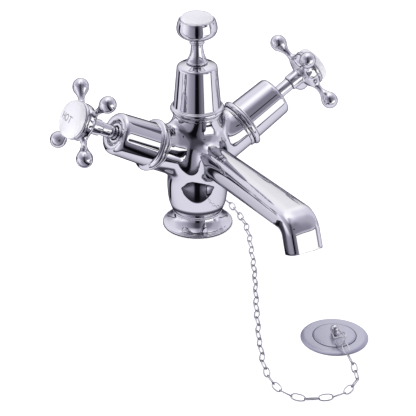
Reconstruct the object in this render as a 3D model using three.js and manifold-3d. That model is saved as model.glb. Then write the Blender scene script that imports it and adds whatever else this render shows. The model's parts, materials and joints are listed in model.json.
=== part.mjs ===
// A three-column basin mixer with cross handles, a cast spout, and a waste with its plug and chain.
// Millimetres, +Z up. The origin is the centre of the base on the basin deck, the spout points
// along -Y, and the hot and cold handles stand towards -X and +X.
import * as THREE from "three";
import { ParametricGeometry } from "three/addons/geometries/ParametricGeometry.js";
import { mergeVertices } from "three/addons/utils/BufferGeometryUtils.js";
import Module from "manifold-3d";

const wasm = await Module();
wasm.setup();

// Driving dimensions
const flangeRadius = 27;
const stemRadius = 23;
const neckRadius = 17.6;
const neckTop = 95.6;
const junctionHeight = 54.3; // where the two arm axes meet the body's own axis
const armTilt = THREE.MathUtils.degToRad(29.3); // above the horizontal
const armRadius = 17.2;
const armEnd = 42.8; // from the junction, along the arm
const beadRadius = 20;
const spindleRadius = 5;
const crossAt = 108.3; // the four handle arms, along the arm axis
const knobCentre = 30.2; // ball of a handle arm, from the arm axis
const knobRadius = 6.3;
const handleTurn = { hot: 47.8, cold: 43.5 }; // degrees, how each handle stands at rest
const spoutRoot = { y: -6, z: 63.2 };
const spoutBend = { y: -134.3, z: 68.4 };
const bendRadius = 11.7;
const bendAngle = 1.25; // radians, the spout's turn down to its mouth
const noseLength = 13.2;
const spoutHalfWidth = { root: 10, mouth: 13.4 };
const spoutHalfHeight = { root: 13, mouth: 7.8 };
const deckThickness = 20;
const studAt = { x: 0, y: 9.5 };
const inletAt = { x: 8.5, y: -5 };
const wasteAt = { x: 0.6, y: -190.3 };
const wasteRadius = 23.4;
const plugRadius = 14.8;
const tailRadius = 16.4;
const tailLength = 55;
const chainWidth = 5; // across a link
const gap = 0.3;
const fine = 18; // sides of a turned piece that shows
const plain = 12; // sides of a turned piece that is hidden
const small = 8;

const chainStayTurn = THREE.MathUtils.degToRad(40); // from +Y towards +X
const chainStayHeight = 34;

// The chain from the stay down to the deck, round the base and back from below to the plug
const chainRoute = [
  [17.7, 21.1, 24.2], [18.2, 21.8, 16], [20.5, 24, 8.5], [25, 26.5, 4], [31, 25.5, 2.7],
  [35.6, 19, 2.7], [35.5, 9, 2.7], [33.5, -4, 2.7], [29.5, -22, 2.7], [22, -41, 2.7],
  [13, -59, 2.7], [4, -77, 2.7], [-5, -94, 2.7], [-14, -110, 2.7], [-22, -124, 2.7],
  [-30, -138, 2.7], [-38, -153, 2.7], [-46, -167, 2.7], [-52, -180, 2.7], [-59, -194, 2.7],
  [-64, -208, 2.7], [-66.5, -221, 2.7], [-65.5, -232, 2.7], [-61, -240.5, 2.7],
  [-55.5, -245.5, 2.7], [-48, -248.5, 2.7], [-40, -251, 2.7], [-32, -250.8, 2.7],
  [-24, -247.5, 2.7], [-17.5, -243, 2.7], [-12.8, -236, 2.7], [-9.2, -227.5, 2.7],
  [-7, -219.5, 3.6], [-5.4, -213, 5.6], [-4.3, -208.6, 6.8],
];

const chrome = { color: 0xe6e6ec, roughness: 0.08, metalness: 1 };
const brass = { color: 0xc9a35a, roughness: 0.35, metalness: 1 };
const steel = { color: 0xb4b5ba, roughness: 0.3, metalness: 1 };
const satin = { color: 0xaeafc4, roughness: 0.35, metalness: 1 };
const rubber = { color: 0x1c1c1e, roughness: 0.8, metalness: 0 };
const glaze = { color: 0xfbfbfd, roughness: 0.15, metalness: 0 };
const alumina = { color: 0xe9e5db, roughness: 0.45, metalness: 0 };
const whitePlastic = { color: 0xe4e4e4, roughness: 0.5, metalness: 0 };

const mixer = new THREE.Group();

function place(name, geometry, look, parent = mixer) {
  const mesh = new THREE.Mesh(geometry, new THREE.MeshStandardMaterial(look));
  mesh.name = name;
  parent.add(mesh);
  return mesh;
}

function toSolid(geometry) {
  const bare = geometry.index ? geometry.toNonIndexed() : geometry.clone();
  bare.deleteAttribute("normal");
  bare.deleteAttribute("uv");
  const merged = mergeVertices(bare, 1e-4);
  const vertProperties = merged.attributes.position.array;
  const triVerts = new Uint32Array(merged.index.array);
  return new wasm.Manifold(new wasm.Mesh({ numProp: 3, vertProperties, triVerts }));
}

function toGeometry(solid) {
  const mesh = solid.getMesh();
  const geometry = new THREE.BufferGeometry();
  geometry.setAttribute("position", new THREE.BufferAttribute(mesh.vertProperties, 3));
  return geometry.setIndex(new THREE.BufferAttribute(mesh.triVerts, 1));
}

function join(first, ...others) {
  return others.reduce((whole, other) => whole.add(toSolid(other)), toSolid(first));
}

function cut(solid, ...tools) {
  return tools.reduce((left, tool) => left.subtract(toSolid(tool)), solid);
}

// A profile of [radius, height] pairs, anticlockwise, turned about Z
function turned(profile, sides = fine) {
  const points = profile.map(([r, z]) => new THREE.Vector2(Math.max(r, 0), z));
  if (points[0].x > 0) points.push(points[0].clone());
  return new THREE.LatheGeometry(points, sides).rotateX(Math.PI / 2);
}

function arc(r, z, radius, from, to, steps) {
  return Array.from({ length: steps + 1 }, (_, i) => {
    const a = THREE.MathUtils.degToRad(from + ((to - from) * i) / steps);
    return [r + radius * Math.cos(a), z + radius * Math.sin(a)];
  });
}

function smooth(points, steps) {
  const curve = new THREE.SplineCurve(points.map(([r, z]) => new THREE.Vector2(r, z)));
  return curve.getPoints(steps).map((p) => [p.x, p.y]);
}

function rod(radius, from, to, sides = plain) {
  const span = new THREE.Vector3().subVectors(to, from);
  const geometry = new THREE.CylinderGeometry(radius, radius, span.length(), sides);
  const turn = new THREE.Quaternion();
  turn.setFromUnitVectors(new THREE.Vector3(0, 1, 0), span.clone().normalize());
  geometry.applyQuaternion(turn);
  return geometry.translate(...new THREE.Vector3().addVectors(from, to).multiplyScalar(0.5));
}

function upright(radius, x, y, low, high, sides = plain) {
  return rod(radius, new THREE.Vector3(x, y, low), new THREE.Vector3(x, y, high), sides);
}

function ring(inner, outer, low, high, sides = plain) {
  return turned([[inner, low], [outer, low], [outer, high], [inner, high]], sides);
}

function hexNut(radius, bore, low, high) {
  const prism = toSolid(turned([[0, low], [radius, low], [radius, high], [0, high]], 6));
  return toGeometry(cut(prism, upright(bore, 0, 0, low - 1, high + 1)));
}

function washer(radius, thickness, height, sides = plain) {
  return new THREE.TorusGeometry(radius, thickness, 5, sides).translate(0, 0, height);
}

// The arm's own frame: Z runs out along the arm, and the origin is the junction
const sideOf = { hot: -1, cold: 1 };
function armFrame(hand) {
  const frame = new THREE.Group();
  frame.position.set(0, 0, junctionHeight);
  frame.rotation.y = sideOf[hand] * (Math.PI / 2 - armTilt);
  frame.updateMatrix();
  return frame;
}

function alongArm(hand, distance, across = 0) {
  return new THREE.Vector3(0, across, distance).applyMatrix4(armFrame(hand).matrix);
}

// The spout's centre line: straight, then a bend, then the straight nose
const spoutRise = Math.atan2(spoutBend.z - spoutRoot.z, spoutRoot.y - spoutBend.y);
const straightLength = Math.hypot(spoutBend.z - spoutRoot.z, spoutRoot.y - spoutBend.y);
const bendLength = bendRadius * bendAngle;
const spoutLength = straightLength + bendLength + noseLength;

function spoutLine(along) {
  const turn = THREE.MathUtils.clamp((along - straightLength) / bendRadius, 0, bendAngle);
  const angle = spoutRise - turn;
  const straight = Math.min(along, straightLength);
  const nose = Math.max(along - straightLength - bendLength, 0);
  const bendY = -bendRadius * (Math.sin(spoutRise) - Math.sin(angle));
  const bendZ = -bendRadius * (Math.cos(spoutRise) - Math.cos(angle));
  const y = spoutRoot.y - straight * Math.cos(spoutRise) + bendY - nose * Math.cos(angle);
  const z = spoutRoot.z + straight * Math.sin(spoutRise) + bendZ + nose * Math.sin(angle);
  return { y, z, angle };
}

// A rounded section carried along the centre line, smaller all round by inset
function spoutBody(inset, from, to, steps, sides = 16) {
  const surface = (u, v, target) => {
    const step = THREE.MathUtils.clamp(v * (steps + 2) - 1, 0, steps) / steps;
    const closed = v < 0.5 / (steps + 2) || v > 1 - 0.5 / (steps + 2) ? 0 : 1;
    const along = from + (to - from) * step;
    const line = spoutLine(along);
    const grown = Math.min(Math.max(along / straightLength, 0), 1);
    const width = THREE.MathUtils.lerp(spoutHalfWidth.root, spoutHalfWidth.mouth, grown);
    const height = THREE.MathUtils.lerp(spoutHalfHeight.root, spoutHalfHeight.mouth, grown);
    const power = 2 / (2.2 + 1.4 * grown);
    const a = u * 2 * Math.PI;
    const across = closed * Math.sign(Math.cos(a)) * Math.abs(Math.cos(a)) ** power;
    const over = closed * Math.sign(Math.sin(a)) * Math.abs(Math.sin(a)) ** power;
    const lift = over * (height - inset);
    const y = line.y + lift * Math.sin(line.angle);
    target.set(across * (width - inset), y, line.z + lift * Math.cos(line.angle));
  };
  return new ParametricGeometry(surface, sides, steps + 2);
}

// --- The cast body and its seal ---

function pedestal() {
  const cove = smooth([[25.6, 3.2], [22, 6], [19.2, 9.4], [18.2, 12.2]], 4);
  const vase = smooth([[19.4, 13.4], [21.6, 18.5], [22.8, 26], [stemRadius, 37], [21, 50], [15, 60]], 6);
  const rim = arc(flangeRadius - 1.6, 1.6, 1.6, -90, 90, 3);
  return turned([[0, 0], ...rim, ...cove, ...vase, [0, 62]]);
}

function armStub() {
  const lip = [[18.2, armEnd - 3], [18.2, armEnd - 0.6], [17.5, armEnd]];
  return turned([[0, -4], [armRadius, -4], [armRadius, armEnd - 4], ...lip, [0, armEnd]]);
}

function neck() {
  const lip = [[18.3, neckTop - 3], [18.3, neckTop - 0.6], [17.6, neckTop]];
  const spigot = [[12, neckTop], [12, neckTop + 6]];
  return turned([[0, 50], [neckRadius, 50], [neckRadius, neckTop - 4], ...lip, ...spigot, [0, neckTop + 6]]);
}

function armCuts(hand) {
  const frame = armFrame(hand).matrix;
  const inward = sideOf[hand] * inletAt.x;
  const foot = new THREE.Vector3(inward, inletAt.y, 4);
  return [
    turned([[0, 22.9], [12.4, 22.9], [12.4, 37], [10.9, 38], [10.9, 45], [0, 45]], plain).applyMatrix4(frame),
    rod(4.2, alongArm(hand, 12), alongArm(hand, 24), small),
    rod(3.7, foot, alongArm(hand, 16.5), small),
    upright(5, inward, inletAt.y, -1, 10, small),
    rod(3.5, alongArm(hand, 31, -5), new THREE.Vector3(0, -30, 65), small),
  ];
}

function chainStayPoint(radius, height = chainStayHeight) {
  return new THREE.Vector3(radius * Math.sin(chainStayTurn), radius * Math.cos(chainStayTurn), height);
}

function body() {
  const bulge = new THREE.SphereGeometry(24, fine, 10).rotateX(Math.PI / 2).translate(0, 0, 56);
  const stubs = ["hot", "cold"].map((hand) => armStub().applyMatrix4(armFrame(hand).matrix));
  const outside = join(pedestal(), bulge, neck(), ...stubs, spoutBody(0, 0, spoutLength, 15));
  const inside = cut(
    outside,
    spoutBody(4.2, 6, spoutLength - 8, 10, 8),
    spoutBody(1.7, spoutLength - 11.5, spoutLength + 1, 2),
    ...armCuts("hot"),
    ...armCuts("cold"),
    ring(21.2, 24.4, -1, 2),
    upright(4.3, studAt.x, studAt.y, -1, 13, small),
    upright(3.25, 0, 0, 84, neckTop + 7, small),
    rod(1.8, chainStayPoint(17), chainStayPoint(26), small),
  );
  place("body_casting", toGeometry(inside), chrome);
  place("base_gasket", ring(21.5, 24.1, 0.05, 1.7), rubber);
}

// --- What clamps the mixer to the basin deck ---

function horseshoe(low, high) {
  const disc = toSolid(upright(25, 0, 0, low, high, fine));
  const throat = upright(17.5, 0, -14.5, low - 1, high + 1, plain);
  return toGeometry(cut(disc, throat, upright(4.4, studAt.x, studAt.y, low - 1, high + 1, small)));
}

function deckFixing() {
  const rubberLow = -deckThickness - 3;
  const plateLow = rubberLow - gap - 3;
  const nutHigh = plateLow - gap;
  place("clamp_rubber", horseshoe(rubberLow, -deckThickness), rubber);
  place("clamp_plate", horseshoe(plateLow, rubberLow - gap), steel);
  place("fixing_stud", upright(4, studAt.x, studAt.y, -deckThickness - 35, 12.6, small), steel);
  place("fixing_nut", hexNut(7.5, 4.4, nutHigh - 6.5, nutHigh).translate(studAt.x, studAt.y, 0), brass);
}

// --- The centre column ---

function centreColumn() {
  const bottom = neckTop + gap;
  const bead = arc(18.2, bottom + 2.1, 2.1, -90, 80, 4);
  const shell = [[17.8, bottom + 4.8], [15.3, 130.4], [14.2, 132.4], [8.6, 134.2], [3.4, 134.3]];
  const inside = [[3.4, 131.6], [12.6, 130.4], [14.6, 104], [14.6, bottom + 3], [12.4, bottom + 2.8]];
  place("top_bonnet", turned([[12.4, bottom], ...bead, ...shell, ...inside]), chrome);
  place("top_mounting_stud", upright(2.95, 0, 0, 85, 140.4, small), steel);
  const foot = [[3.25, 134.6], [7.4, 134.6], [7.9, 135.4], [7.7, 136.6]];
  const waist = smooth([[6.4, 139], [5, 143], [4.6, 147], [4.8, 149.4]], 4);
  const collar = [[5.7, 150], [5.7, 151], [5, 151.6], [5, 153.4]];
  const bores = [[1.9, 153.4], [1.9, 145], [0, 145], [0, 141], [3.25, 141]];
  place("top_pillar", turned([[0, 141], ...bores.slice(4), ...foot, ...waist, ...collar, ...bores.slice(0, 3)], 16), chrome);
  const bowl = smooth([[5.4, 153.7], [10.8, 155], [14.2, 157.7], [15.2, 161], [14.6, 165], [13.7, 168.4]], 6);
  const well = [[12.9, 168.5], [12.6, 167.6], [12.6, 162.6], [4.6, 162.6], [4.6, 159.8], [1.9, 159.8]];
  place("top_knob_cup", turned([[1.9, 153.7], ...bowl, ...well]), chrome);
  const head = [[0, 146.4], [1.5, 146.4], [1.5, 160.1], [4, 160.1], [4, 161.6], [2.8, 162.3], [0, 162.3]];
  place("top_knob_screw", turned(head, small), steel);
  const dome = smooth([[12.2, 168], [11.4, 170.4], [8.4, 172.2], [4.6, 173.1], [0, 173.4]], 4);
  place("top_index", turned([[0, 163], [12.2, 163], ...dome], 16), glaze);
}

// --- One valve arm ---

function bonnet(hand, frame) {
  const low = armEnd + gap;
  const bead = arc(beadRadius - 2.2, low + 2.2, 2.2, -90, 90, 4);
  const shell = [[16.9, low + 4.9], [16.5, 49.4], [15.7, 76.2], ...arc(12.3, 76.8, 3.3, 10, 70, 3)];
  const nose = [[9.2, 80.3], [8.6, 79.2], [5.7, 79.2], [5.7, 77.4], [12, 76.4], [13.7, 74], [14.3, 50], [14.3, low]];
  place(hand + "_bonnet", turned([[14.3, low], ...bead, ...shell, ...nose.slice(0, -1)]), chrome, frame);
}

function cartridge(hand, frame) {
  const skirt = [[8, 25.4], [10.5, 25.4], [10.5, 44.5]];
  const barrel = [[9, 49], [9, 64], [7, 65], [7, 73.2], [5.3, 73.2], [5.3, 37], [8, 36.6]];
  const hexagon = toSolid(ring(8, 13.6, 44.1, 49.4, 6));
  const windows = new THREE.BoxGeometry(30, 8, 6).translate(0, 0, 32.2);
  const core = upright(8.2, 0, 0, 40, 52, plain);
  const shape = cut(toSolid(turned([...skirt, ...barrel], plain)).add(cut(hexagon, core)), windows);
  place(hand + "_cartridge_body", toGeometry(shape), brass, frame);
  place(hand + "_seat_washer", ring(5.5, 10.3, 23.2, 25.1), rubber, frame);
  place(hand + "_body_washer", ring(11, 12.9, armEnd + gap, 43.8), whitePlastic, frame);
  place(hand + "_fixed_disc", ported(7.6, 25.5, 28.2), alumina, frame);
}

// A ceramic disc with its two water ports
function ported(radius, low, high) {
  const disc = toSolid(upright(radius, 0, 0, low, high, plain));
  return toGeometry(cut(disc, ...[-4, 4].map((x) => upright(2.2, x, 0, low - 1, high + 1, 8))));
}

function spindle(hand, frame) {
  const r = spindleRadius;
  const groove = [[r, 51], [3.9, 51], [3.9, 53.4], [r, 53.4]];
  const clipGroove = [[r, 73.6], [4.2, 73.6], [4.2, 75], [r, 75]];
  const spline = [[r, 92.7], [3.9, 93], [3.9, 104.2], [2.2, 104.2], [2.2, 96], [0, 96]];
  const profile = [[0, 31.5], [7.5, 31.5], [7.5, 35.8], [r, 36.4], ...groove, ...clipGroove, ...spline];
  place(hand + "_spindle", turned(profile, plain), chrome, frame);
  place(hand + "_moving_disc", ported(7.5, 28.5, 31.2), alumina, frame);
  place(hand + "_spindle_seal", washer(4.62, 0.5, 52.2), rubber, frame);
  place(hand + "_spindle_clip", ring(4.5, 6.6, 73.9, 74.7), steel, frame);
}

function handleArm(turn) {
  const neckLine = [[3.4, 10.6], [2.8, 14], [2.3, 18.4], [3.3, 22.8]];
  const ball = arc(0, knobCentre, knobRadius, -30, 90, 4);
  const arm = turned([[0, 10.6], ...neckLine, ...ball], small);
  return arm.rotateY(Math.PI / 2).rotateZ(turn).translate(0, 0, crossAt);
}

function crossHandle(hand, frame) {
  const boss = [[4.3, 93.3], [5.6, 93.3], [6, 93.8], [6, 103.2], [7, 103.8]];
  const hub = smooth([[10.4, 104.2], [13, 105.3], [13.9, 108.2], [14, 112]], 4);
  const well = [[10.5, 112], [10.5, 110.2], [4.6, 110.2], [4.6, 106.4], [2.3, 106.4], [2.3, 104.6], [4.3, 104.6]];
  const rest = THREE.MathUtils.degToRad(handleTurn[hand]);
  const arms = [0, 1, 2, 3].map((i) => handleArm(rest + (i * Math.PI) / 2));
  const centre = upright(10.7, 0, 0, 109.9, 113);
  const bored = cut(join(turned([...boss, ...hub, ...well]), ...arms), centre);
  place(hand + "_cross_handle", toGeometry(bored), chrome, frame);
  const screw = [[0, 97], [1.9, 97], [1.9, 106.7], [4, 106.7], [4, 108.6], [2.6, 109.5], [0, 109.5]];
  place(hand + "_handle_screw", turned(screw, small), steel, frame);
}

function index(hand, frame) {
  const spigot = [[8, 110.5], [10.2, 110.5], [10.2, 112.3], [13.6, 112.3]];
  const rim = [[14.3, 112.8], [14.5, 113.7], [14.2, 114.5], [13.4, 114.8], [12.9, 114.6]];
  place(hand + "_index_bezel", turned([...spigot, ...rim, [12.8, 114.1], [8, 114.1]]), chrome, frame);
  const dome = smooth([[13.7, 115.4], [14.1, 117.4], [13.3, 119.8], [10.4, 121.3], [5.6, 122.1], [0, 122.4]], 3);
  place(hand + "_index", turned([[0, 114.4], [12.4, 114.4], [12.4, 115.3], ...dome]), glaze, frame);
}

function valveArm(hand) {
  const frame = armFrame(hand);
  mixer.add(frame);
  bonnet(hand, frame);
  cartridge(hand, frame);
  spindle(hand, frame);
  crossHandle(hand, frame);
  index(hand, frame);
}

// --- The insert in the spout's mouth ---

function mouthInsert() {
  const end = spoutLength;
  const tube = (name, outer, inner, from, to, look) => {
    const shape = cut(toSolid(spoutBody(outer, from, to, 1, 12)), spoutBody(inner, from - 1, to + 1, 1, 12));
    place(name, toGeometry(shape), look);
  };
  tube("outlet_housing", 2, 3.5, end - 8, end - 0.6, chrome);
  tube("outlet_seal", 2.1, 4, end - 11.2, end - 9.9, rubber);
  const middle = spoutLine(end - 9);
  const slots = [-8, -4, 0, 4, 8].map((x) => {
    const slot = new THREE.BoxGeometry(1.8, 6.4, 6).rotateX(-middle.angle - Math.PI / 2);
    return slot.translate(x, middle.y, middle.z);
  });
  const grid = cut(toSolid(spoutBody(2.1, end - 9.6, end - 8.3, 1, 12)), ...slots);
  place("outlet_grid", toGeometry(grid), steel);
}

// --- The chain and what holds its upper end ---

function chainStay() {
  const eye = new THREE.TorusGeometry(3.4, 1, 6, plain).rotateX(Math.PI / 2);
  eye.rotateZ(Math.PI / 2 - chainStayTurn).translate(...chainStayPoint(27.6));
  const stem = rod(1.5, chainStayPoint(17.6), chainStayPoint(25), small);
  place("chain_stay", toGeometry(join(eye, stem)), chrome);
  const link = new THREE.TorusGeometry(3.6, 0.6, 6, plain).rotateX(Math.PI / 2);
  link.rotateZ(-chainStayTurn).translate(...chainStayPoint(27.6, chainStayHeight - 5.2));
  place("chain_stay_ring", link, chrome);
}

function chain() {
  const points = chainRoute.map(([x, y, z]) => new THREE.Vector3(x, y, z));
  const section = new THREE.Shape();
  section.absarc(0, 0, chainWidth / 2, 0, 2 * Math.PI);
  const extrudePath = new THREE.CatmullRomCurve3(points);
  const options = { extrudePath, steps: 54, curveSegments: 4, bevelEnabled: false };
  place("chain", new THREE.ExtrudeGeometry(section, options), chrome);
}

// --- The waste and its plug, both built about the waste's own axis ---

function waste(frame) {
  const top = [[wasteRadius, 1.4], [wasteRadius - 0.5, 2.1], [17.4, 2], [15.7, 1.4]];
  const throat = [[14.4, -6], [14.2, -8], [14.2, -tailLength]];
  const shell = turned([[14.2, -tailLength], [tailRadius, -tailLength], [tailRadius, 1], [wasteRadius, 1], ...top, ...throat.slice(0, 2)]);
  const overflow = new THREE.BoxGeometry(40, 8, 9).translate(0, 0, -19);
  place("waste_body", toGeometry(cut(toSolid(shell), overflow)), satin, frame);
  place("waste_top_seal", ring(17, 22.4, 0, 0.8), rubber, frame);
  place("waste_lower_seal", ring(17, 23, -deckThickness - 12, -deckThickness - 8), rubber, frame);
  const nutHigh = -deckThickness - 12.3;
  place("waste_backnut", hexNut(24.5, 17.2, nutHigh - 6, nutHigh), brass, frame);
}

function plug(frame) {
  const plate = [[2.1, 1.9], [plugRadius, 1.9], [plugRadius, 2.3], [10, 2.9], [2.1, 3.2]];
  place("plug_plate", turned(plate), satin, frame);
  const skirt = [[2.1, -4.6], [13, -4.6], [13.5, -3.8], [14.5, 0.8], [14.5, 1.6], [2.1, 1.6]];
  place("plug_rubber", turned(skirt), rubber, frame);
  const post = [[0, -6.6], [1.7, -6.6], [1.7, 7.2], [2.9, 7.5], [3.1, 8.6], [2, 9.5], [0, 9.8]];
  place("plug_post", turned(post, small), chrome, frame);
  place("plug_nut", hexNut(4, 2.1, -6.4, -4.9), brass, frame);
}

const towardsChain = Math.atan2(-0.966, -0.259);

// A flat triangle with a hole for the post and a window for the ring
function stirrup(frame) {
  const outline = new THREE.Shape();
  outline.moveTo(-3.2, -2.4).lineTo(10.3, -4).lineTo(10.3, 4).lineTo(-3.2, 2.4).closePath();
  const round = new THREE.Path();
  round.absarc(0, 0, 2.1, 0, 2 * Math.PI, true);
  const opening = new THREE.Path();
  opening.moveTo(3.6, -1.9).lineTo(3.6, 1.9).lineTo(8.8, 2.6).lineTo(8.8, -2.6).closePath();
  outline.holes.push(round, opening);
  const plate = new THREE.ExtrudeGeometry(outline, { depth: 0.8, curveSegments: 5, bevelEnabled: false });
  place("plug_stirrup", plate.translate(0, 0, 6.1).rotateZ(towardsChain), chrome, frame);
  const loop = new THREE.TorusGeometry(4.8, 0.55, 6, 18).rotateX(THREE.MathUtils.degToRad(50));
  place("plug_ring", loop.translate(12.9, 0, 7).rotateZ(towardsChain), chrome, frame);
}

function wasteAndPlug() {
  const frame = new THREE.Group();
  frame.position.set(wasteAt.x, wasteAt.y, 0);
  mixer.add(frame);
  waste(frame);
  plug(frame);
  stirrup(frame);
}

body();
deckFixing();
centreColumn();
valveArm("hot");
valveArm("cold");
mouthInsert();
chainStay();
chain();
wasteAndPlug();

export default mixer;
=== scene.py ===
import json
import math

import bpy
import numpy as np
import openvdb
from mathutils import Matrix, Vector
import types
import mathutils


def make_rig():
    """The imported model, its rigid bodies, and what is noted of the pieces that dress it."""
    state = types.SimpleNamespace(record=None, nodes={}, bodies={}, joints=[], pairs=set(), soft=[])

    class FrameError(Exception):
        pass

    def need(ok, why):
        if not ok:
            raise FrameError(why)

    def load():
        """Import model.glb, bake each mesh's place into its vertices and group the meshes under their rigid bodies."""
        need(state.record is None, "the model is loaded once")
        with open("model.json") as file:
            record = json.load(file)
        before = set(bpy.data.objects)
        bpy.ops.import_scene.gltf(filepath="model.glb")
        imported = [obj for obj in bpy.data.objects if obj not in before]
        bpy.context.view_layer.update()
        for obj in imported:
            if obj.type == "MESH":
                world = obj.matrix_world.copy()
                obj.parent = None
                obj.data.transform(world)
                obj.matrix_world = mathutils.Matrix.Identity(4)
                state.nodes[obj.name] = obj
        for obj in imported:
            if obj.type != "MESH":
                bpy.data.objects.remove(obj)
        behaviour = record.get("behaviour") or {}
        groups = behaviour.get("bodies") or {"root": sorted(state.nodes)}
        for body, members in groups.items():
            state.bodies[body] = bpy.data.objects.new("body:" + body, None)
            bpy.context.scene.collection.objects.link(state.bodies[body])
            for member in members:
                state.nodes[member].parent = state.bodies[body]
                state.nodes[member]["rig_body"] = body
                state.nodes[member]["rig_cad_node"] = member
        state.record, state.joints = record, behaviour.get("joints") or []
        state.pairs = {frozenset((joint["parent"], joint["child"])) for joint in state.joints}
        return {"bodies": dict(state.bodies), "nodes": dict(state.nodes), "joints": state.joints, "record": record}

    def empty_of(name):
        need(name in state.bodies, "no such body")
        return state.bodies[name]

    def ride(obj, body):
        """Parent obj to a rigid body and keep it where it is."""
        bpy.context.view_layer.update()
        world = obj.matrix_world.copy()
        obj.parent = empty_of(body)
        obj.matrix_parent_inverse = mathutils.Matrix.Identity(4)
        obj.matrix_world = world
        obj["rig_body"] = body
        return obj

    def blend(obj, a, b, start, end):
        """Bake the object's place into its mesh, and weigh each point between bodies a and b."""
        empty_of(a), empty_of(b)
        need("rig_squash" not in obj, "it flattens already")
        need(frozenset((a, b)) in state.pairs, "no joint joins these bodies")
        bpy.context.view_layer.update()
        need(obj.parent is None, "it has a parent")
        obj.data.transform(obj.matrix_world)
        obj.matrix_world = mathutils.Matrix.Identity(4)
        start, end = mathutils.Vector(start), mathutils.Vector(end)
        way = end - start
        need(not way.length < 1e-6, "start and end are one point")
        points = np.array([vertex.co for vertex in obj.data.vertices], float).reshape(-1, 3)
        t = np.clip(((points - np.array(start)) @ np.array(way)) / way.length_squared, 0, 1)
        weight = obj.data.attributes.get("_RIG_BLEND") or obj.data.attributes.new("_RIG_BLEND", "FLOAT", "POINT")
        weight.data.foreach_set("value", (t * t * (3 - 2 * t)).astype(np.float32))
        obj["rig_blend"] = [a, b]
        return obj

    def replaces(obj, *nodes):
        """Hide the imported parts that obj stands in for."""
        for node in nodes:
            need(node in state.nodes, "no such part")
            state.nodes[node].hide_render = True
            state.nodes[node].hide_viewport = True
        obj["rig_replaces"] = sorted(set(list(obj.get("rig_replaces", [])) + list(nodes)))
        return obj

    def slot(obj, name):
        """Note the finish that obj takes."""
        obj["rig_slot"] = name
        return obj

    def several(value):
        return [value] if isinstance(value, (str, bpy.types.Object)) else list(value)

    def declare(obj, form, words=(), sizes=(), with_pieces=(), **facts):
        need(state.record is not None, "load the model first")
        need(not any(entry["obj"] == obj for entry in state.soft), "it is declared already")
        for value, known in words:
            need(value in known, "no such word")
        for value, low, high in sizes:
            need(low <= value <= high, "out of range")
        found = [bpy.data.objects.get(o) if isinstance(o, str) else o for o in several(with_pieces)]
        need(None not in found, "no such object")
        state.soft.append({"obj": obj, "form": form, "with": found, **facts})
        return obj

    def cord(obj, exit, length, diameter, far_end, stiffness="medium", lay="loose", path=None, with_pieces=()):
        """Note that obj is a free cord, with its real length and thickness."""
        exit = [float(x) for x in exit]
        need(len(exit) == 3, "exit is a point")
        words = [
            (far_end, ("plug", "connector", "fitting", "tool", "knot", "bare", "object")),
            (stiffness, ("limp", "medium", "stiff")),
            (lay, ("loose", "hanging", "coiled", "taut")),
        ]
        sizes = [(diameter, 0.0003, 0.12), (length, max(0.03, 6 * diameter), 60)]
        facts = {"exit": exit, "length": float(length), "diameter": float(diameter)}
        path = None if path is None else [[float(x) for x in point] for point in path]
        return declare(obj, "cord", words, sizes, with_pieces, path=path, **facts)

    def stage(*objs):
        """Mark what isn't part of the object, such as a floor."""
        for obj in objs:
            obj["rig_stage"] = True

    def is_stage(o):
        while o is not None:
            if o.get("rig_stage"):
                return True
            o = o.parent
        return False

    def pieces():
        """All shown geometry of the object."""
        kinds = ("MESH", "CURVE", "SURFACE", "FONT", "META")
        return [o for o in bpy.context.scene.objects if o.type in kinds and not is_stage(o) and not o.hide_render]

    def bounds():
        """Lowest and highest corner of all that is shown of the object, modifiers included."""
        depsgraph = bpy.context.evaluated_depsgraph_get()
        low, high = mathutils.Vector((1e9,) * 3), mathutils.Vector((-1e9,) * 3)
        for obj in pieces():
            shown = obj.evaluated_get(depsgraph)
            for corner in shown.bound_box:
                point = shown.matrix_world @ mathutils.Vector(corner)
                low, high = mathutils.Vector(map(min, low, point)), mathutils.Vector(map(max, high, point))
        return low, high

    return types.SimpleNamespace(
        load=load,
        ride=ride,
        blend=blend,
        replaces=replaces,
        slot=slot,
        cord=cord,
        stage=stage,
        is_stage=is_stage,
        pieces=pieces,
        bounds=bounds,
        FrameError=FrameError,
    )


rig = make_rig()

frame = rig.load()
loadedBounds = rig.bounds()

# Shapes are worked out in millimetres and turned into metres as each mesh is made.
mm = 0.001
rng = np.random.default_rng(7)

# The two valve arms climb from one point on the body's axis.
arms = {
    "junction": 54.3, "tilt": 29.3,       # height of that point, and the climb in degrees
    "side": {"hot": -1, "cold": 1},
    "turn": {"hot": 47.8, "cold": 43.5},  # how far round each closed handle stands
}


def arc(r, z, radius, start, end, steps=8):
    # part of a circle in a profile, about (r, z), between two angles in degrees
    angles = np.radians(np.linspace(start, end, steps + 1))
    return [(r + radius * math.cos(a), z + radius * math.sin(a)) for a in angles]


def smoothLine(points, perSpan=6, closed=False):
    # Catmull-Rom through the given points, in any number of dimensions
    p = np.array(points, float)
    if closed:
        ring = np.vstack([p[-1], p, p[0], p[1]])
    else:
        ring = np.vstack([2 * p[0] - p[1], p, 2 * p[-1] - p[-2]])
    out = []
    for i in range(1, len(ring) - 2):
        a, b, c, d = ring[i - 1], ring[i], ring[i + 1], ring[i + 2]
        square, cube = 2 * a - 5 * b + 4 * c - d, 3 * b - a - 3 * c + d
        for t in np.arange(perSpan) / perSpan:
            out.append(0.5 * (2 * b + (c - a) * t + square * t**2 + cube * t**3))
    if not closed:
        out.append(p[-1])
    return np.array(out)


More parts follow.
